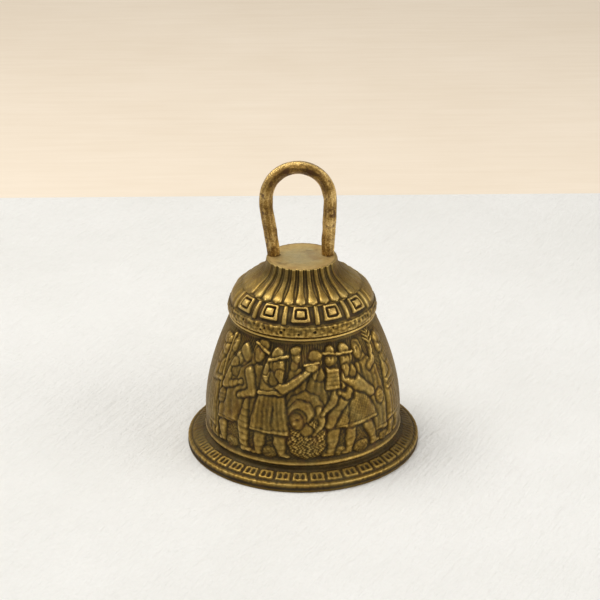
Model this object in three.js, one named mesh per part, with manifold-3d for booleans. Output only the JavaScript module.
// Brass puja bell: a cast hand bell with a bent-bar finger loop on its crown and a
// ball clapper that hangs inside it on a link.
// Units are millimetres. +Z is up, +X is to the right of someone facing the bell, and
// +Y is away from them. The origin is the centre of the mouth, in the plane of the rim.

import * as THREE from 'three';
import { mergeVertices } from 'three/addons/utils/BufferGeometryUtils.js';
import Module from 'manifold-3d';

const wasm = await Module();
wasm.setup();

// Driving dimensions.
const RIM_RADIUS = 40;
const CROWN_TOP = 68.2;
const CROWN_RADIUS = 11.9;
const CEILING = 63.6;
const LOOP_TOP = 101.5;
const LOOP_BACK = 1.6;
const BAR_WIDTH = 4.4;
const BAR_DEPTH = 4.3;
const TENON_X = [-9.0, 8.7];
const TENON_RADIUS = 1.5;
const BALL_RADIUS = 6.5;
const BALL_CENTRE = 13;
const STAPLE_AXIS = 58.6;
const LINK_AXIS = 52.6;

// Fits: the gap between pieces that touch, and the slack of a peg in its hole.
const GAP = 0.05;
const SLACK = 0.1;

// Facets round the bell, round small turned pieces and round a wire.
const BELL_FACETS = 48;
const SMALL_FACETS = 20;
const WIRE_FACETS = 10;

const brass = (hex, roughness) =>
  new THREE.MeshStandardMaterial({ color: hex, roughness, metalness: 1 });

// ---------------------------------------------------------------- helpers

// Joins shared corners and drops the empty triangles at a lathe's poles.
function welded(geometry) {
  const bare = geometry.clone();
  bare.deleteAttribute('normal');
  bare.deleteAttribute('uv');
  const merged = mergeVertices(bare, 1e-4);
  const index = merged.index.array;
  const kept = [];
  for (let i = 0; i < index.length; i += 3) {
    const [a, b, c] = [index[i], index[i + 1], index[i + 2]];
    if (a !== b && b !== c && c !== a) kept.push(a, b, c);
  }
  merged.setIndex(kept);
  merged.computeVertexNormals();
  return merged;
}

function solidOf(geometry) {
  const closed = welded(geometry);
  return new wasm.Manifold(new wasm.Mesh({
    numProp: 3,
    vertProperties: new Float32Array(closed.attributes.position.array),
    triVerts: new Uint32Array(closed.index.array),
  }));
}

function geometryOf(solid) {
  const mesh = solid.getMesh();
  const geometry = new THREE.BufferGeometry();
  geometry.setAttribute('position', new THREE.BufferAttribute(mesh.vertProperties, 3));
  geometry.setIndex(new THREE.BufferAttribute(mesh.triVerts, 1));
  geometry.computeVertexNormals();
  return geometry;
}

const joined = (...parts) => geometryOf(parts.map(solidOf).reduce((a, b) => a.add(b)));

// A solid turned about Z from an outline of (radius, height).
function turned(outline, facets) {
  return new THREE.LatheGeometry(outline, facets).rotateX(Math.PI / 2);
}

// An upright peg from one height to another.
function peg(radius, low, high, x = 0, facets = SMALL_FACETS) {
  const geometry = new THREE.CylinderGeometry(radius, radius, high - low, facets);
  return geometry.rotateX(Math.PI / 2).translate(x, 0, (low + high) / 2);
}

// A peened head: a low dome that hangs below the height of its seat.
function peenedHead(radius, height, seat, x) {
  const outline = new THREE.Path();
  outline.moveTo(0, seat - height);
  outline.bezierCurveTo(radius * 0.7, seat - height, radius, seat - height * 0.6, radius, seat - 0.2);
  outline.lineTo(radius, seat);
  outline.lineTo(0, seat);
  return turned(outline.getPoints(4), SMALL_FACETS).translate(x, 0, 0);
}

// ---------------------------------------------------------------- the bell

// The inside, from the middle of the ceiling down to the mouth.
function drawInside(outline) {
  outline.moveTo(0, CEILING);
  outline.lineTo(11.5, CEILING);
  outline.bezierCurveTo(15.2, 60.6, 20.5, 57.0, 21.2, 51.5);
  outline.bezierCurveTo(22.6, 45.5, 30.6, 25, 30.6, 11);
  outline.bezierCurveTo(30.6, 4, 32.4, 1.2, RIM_RADIUS - 3, 0);
}

// The lip, the sloping flange and the bead above it.
function drawLip(outline) {
  outline.lineTo(RIM_RADIUS - 0.4, 0);
  outline.lineTo(RIM_RADIUS, 0.4);
  outline.lineTo(RIM_RADIUS, 2.4);
  outline.lineTo(RIM_RADIUS - 0.6, 2.93);
  outline.lineTo(RIM_RADIUS - 1.2, 2.9);
  outline.lineTo(33.5, 5.2);
  outline.lineTo(32.8, 6.1);
  outline.quadraticCurveTo(34.6, 7.1, 33.15, 8.1);
}

// The wall up to the thin bead and the ledge ring, then the shoulder and the neck.
function drawWallAndCrown(outline) {
  outline.bezierCurveTo(33.1, 4.6, 35.71, 24.19, 24.25, 47.5);
  outline.lineTo(24.0, 47.9);
  outline.quadraticCurveTo(25.6, 48.6, 24.2, 49.3);
  outline.lineTo(25.15, 49.9);
  outline.lineTo(25.2, 51.3);
  outline.lineTo(24.45, 53.0);
  outline.bezierCurveTo(22.94, 52.97, 26.07, 55.56, 20.2, 59.0);
  outline.bezierCurveTo(17.0, 62.41, 12.56, 62.47, CROWN_RADIUS, CROWN_TOP - 0.3);
  outline.lineTo(CROWN_RADIUS - 0.2, CROWN_TOP);
  outline.lineTo(0, CROWN_TOP);
}

const STAPLE_HALF = 3;
const STAPLE_WIRE = 1;
const STAPLE_LEG_TOP = 65.6;

function bellCasting() {
  const outline = new THREE.Path();
  drawInside(outline);
  drawLip(outline);
  drawWallAndCrown(outline);
  let solid = solidOf(turned(outline.getPoints(5), BELL_FACETS));
  for (const x of TENON_X) {
    const hole = peg(TENON_RADIUS + SLACK, CEILING - 1, CROWN_TOP + 1, x).translate(0, LOOP_BACK, 0);
    solid = solid.subtract(solidOf(hole));
  }
  for (const side of [-1, 1]) {
    const socket = peg(STAPLE_WIRE + SLACK, CEILING - 1, STAPLE_LEG_TOP + SLACK, side * STAPLE_HALF);
    solid = solid.subtract(solidOf(socket));
  }
  return geometryOf(solid);
}

// ---------------------------------------------------------------- the finger loop

const FOOT_X = [-9.5, 8.8];
const SIDE_X = [-11.8, 9.55];
const SIDE_HEIGHT = 87.7;
const BURR_RADIUS = 2.3;
const BURR_THICKNESS = 0.75;

// The bar's centre line: up one leg, over the arch and down the other leg. The whole loop
// stands LOOP_BACK behind the bell's axis.
function loopCentreLine() {
  const [left, right] = SIDE_X;
  const [leftFoot, rightFoot] = FOOT_X;
  const side = SIDE_HEIGHT;
  const apexX = (left + right) / 2;
  const apexZ = LOOP_TOP - BAR_WIDTH / 2;
  const foot = CROWN_TOP + GAP;
  const round = 0.57;
  const at = (x, z) => new THREE.Vector3(x, 0, z);
  const path = new THREE.CurvePath();
  const bend = (...points) => path.add(new THREE.CubicBezierCurve3(...points));
  const rise = (apexZ - side) * round;
  const reach = (right - apexX) * round;
  bend(at(leftFoot, foot), at(leftFoot, 73.1), at(left, 82.5), at(left, side));
  bend(at(left, side), at(left, side + rise), at(apexX - reach, apexZ), at(apexX, apexZ));
  bend(at(apexX, apexZ), at(apexX + reach, apexZ), at(right, side + rise), at(right, side));
  bend(at(right, side), at(right, 79.3), at(rightFoot, 77.3), at(rightFoot, foot));
  return path;
}

// The bar's section: a square with its corners hammered off.
function barSection() {
  const [x, y, cut] = [BAR_DEPTH / 2, BAR_WIDTH / 2, 1.15];
  const corners = [
    [x, y - cut], [x - cut, y], [cut - x, y], [-x, y - cut],
    [-x, cut - y], [cut - x, -y], [x - cut, -y], [x, cut - y],
  ];
  return new THREE.Shape(corners.map(([a, b]) => new THREE.Vector2(a, b)));
}

function handleLoop() {
  const bar = new THREE.ExtrudeGeometry(barSection(), { steps: 44, extrudePath: loopCentreLine() });
  const seat = CEILING - BURR_THICKNESS - 2 * GAP;
  const parts = [bar];
  for (const x of TENON_X) {
    parts.push(peg(TENON_RADIUS, seat - 0.3, CROWN_TOP + 1.5, x));
    parts.push(peenedHead(2.1, 0.9, seat, x));
  }
  return joined(...parts).translate(0, LOOP_BACK, 0);
}

// A small washer that the peened tenon bears on, just under the ceiling.
function burr(x) {
  const [bore, high, low] = [TENON_RADIUS + SLACK, CEILING - GAP, CEILING - GAP - BURR_THICKNESS];
  const outline = [
    [bore, low], [BURR_RADIUS - 0.15, low], [BURR_RADIUS, low + 0.15],
    [BURR_RADIUS, high], [bore, high], [bore, low],
  ].map(([r, z]) => new THREE.Vector2(r, z));
  return welded(turned(outline, SMALL_FACETS).translate(x, LOOP_BACK, 0));
}

// ---------------------------------------------------------------- the clapper

function wireSection(radius) {
  const section = new THREE.Shape();
  section.absarc(0, 0, radius, 0, Math.PI * 2);
  return new THREE.Shape(section.getSpacedPoints(WIRE_FACETS).slice(0, -1));
}

// A U of wire, open upwards, whose lowest point is the link's pivot.
function clapperStaple() {
  const bend = STAPLE_AXIS + STAPLE_HALF;
  const round = STAPLE_HALF * 0.5523;
  const at = (x, z) => new THREE.Vector3(x, 0, z);
  const path = new THREE.CurvePath();
  path.add(new THREE.LineCurve3(at(-STAPLE_HALF, STAPLE_LEG_TOP), at(-STAPLE_HALF, bend)));
  path.add(new THREE.CubicBezierCurve3(
    at(-STAPLE_HALF, bend), at(-STAPLE_HALF, bend - round), at(-round, STAPLE_AXIS), at(0, STAPLE_AXIS)));
  path.add(new THREE.CubicBezierCurve3(
    at(0, STAPLE_AXIS), at(round, STAPLE_AXIS), at(STAPLE_HALF, bend - round), at(STAPLE_HALF, bend)));
  path.add(new THREE.LineCurve3(at(STAPLE_HALF, bend), at(STAPLE_HALF, STAPLE_LEG_TOP)));
  const settings = { steps: 22, extrudePath: path };
  return welded(new THREE.ExtrudeGeometry(wireSection(STAPLE_WIRE), settings));
}

const LINK_WIRE = 0.8;
const LINK_HALF_WIDTH = 2.4;
const RUNNING_GAP = 0.3;

// An oval ring in the YZ plane: a round ring pulled apart at its middle.
function clapperLink() {
  const steps = 24;
  const top = STAPLE_AXIS + STAPLE_WIRE + LINK_WIRE + RUNNING_GAP;
  const stretch = (top - LINK_AXIS) / 2 - LINK_HALF_WIDTH;
  const ring = new THREE.TorusGeometry(LINK_HALF_WIDTH, LINK_WIRE, WIRE_FACETS, steps);
  ring.rotateZ(Math.PI / steps);
  const position = ring.attributes.position;
  for (let i = 0; i < position.count; i += 1) {
    const y = position.getY(i);
    position.setY(i, y + Math.sign(y) * stretch);
  }
  ring.rotateX(Math.PI / 2).rotateZ(Math.PI / 2);
  return welded(ring.translate(0, 0, (top + LINK_AXIS) / 2));
}

const EYE_RADIUS = 2.3;
const EYE_WIRE = 0.8;
const ROD_RADIUS = 1.3;
const BALL_BORE = 1.1;
const BALL_FLAT = 6.2;

// The rod: an eye in the XZ plane, the shank, a collar, the ball's seat and a peened end.
function clapperRod() {
  const eyeZ = LINK_AXIS + LINK_WIRE + EYE_WIRE + RUNNING_GAP - EYE_RADIUS;
  const collarLow = BALL_CENTRE + BALL_FLAT + GAP;
  const eye = new THREE.TorusGeometry(EYE_RADIUS, EYE_WIRE, WIRE_FACETS, SMALL_FACETS);
  eye.rotateX(Math.PI / 2).translate(0, 0, eyeZ);
  return joined(
    eye,
    peg(ROD_RADIUS, collarLow, eyeZ - EYE_RADIUS, 0, 16),
    peg(2.3, collarLow, collarLow + 1.1, 0),
    peg(BALL_BORE - SLACK, BALL_CENTRE - BALL_FLAT - 0.4, collarLow + 0.4, 0, 16),
    peenedHead(1.9, 0.8, BALL_CENTRE - BALL_FLAT - GAP, 0),
  );
}

function clapperBall() {
  const half = Math.asin(BALL_FLAT / BALL_RADIUS);
  const flatRadius = BALL_RADIUS * Math.cos(half);
  const outline = new THREE.Path();
  outline.moveTo(BALL_BORE, BALL_CENTRE - BALL_FLAT);
  outline.lineTo(flatRadius, BALL_CENTRE - BALL_FLAT);
  outline.absarc(0, BALL_CENTRE, BALL_RADIUS, -half, half);
  outline.lineTo(BALL_BORE, BALL_CENTRE + BALL_FLAT);
  outline.lineTo(BALL_BORE, BALL_CENTRE - BALL_FLAT);
  return welded(turned(outline.getPoints(6), SMALL_FACETS));
}

// ---------------------------------------------------------------- the assembly

function add(group, name, geometry, material) {
  const mesh = new THREE.Mesh(geometry, material);
  mesh.name = name;
  group.add(mesh);
}

const bell = new THREE.Group();
add(bell, 'bell_casting', bellCasting(), brass(0xa9823f, 0.38));
add(bell, 'handle_loop', handleLoop(), brass(0xc29a52, 0.32));
add(bell, 'handle_burr_left', burr(TENON_X[0]), brass(0xb08a4a, 0.4));
add(bell, 'handle_burr_right', burr(TENON_X[1]), brass(0xb08a4a, 0.4));
add(bell, 'clapper_staple', clapperStaple(), brass(0x9c7a40, 0.45));
add(bell, 'clapper_link', clapperLink(), brass(0xa88448, 0.4));
add(bell, 'clapper_rod', clapperRod(), brass(0xa88448, 0.4));
add(bell, 'clapper_ball', clapperBall(), brass(0xb8924e, 0.35));

export default bell;
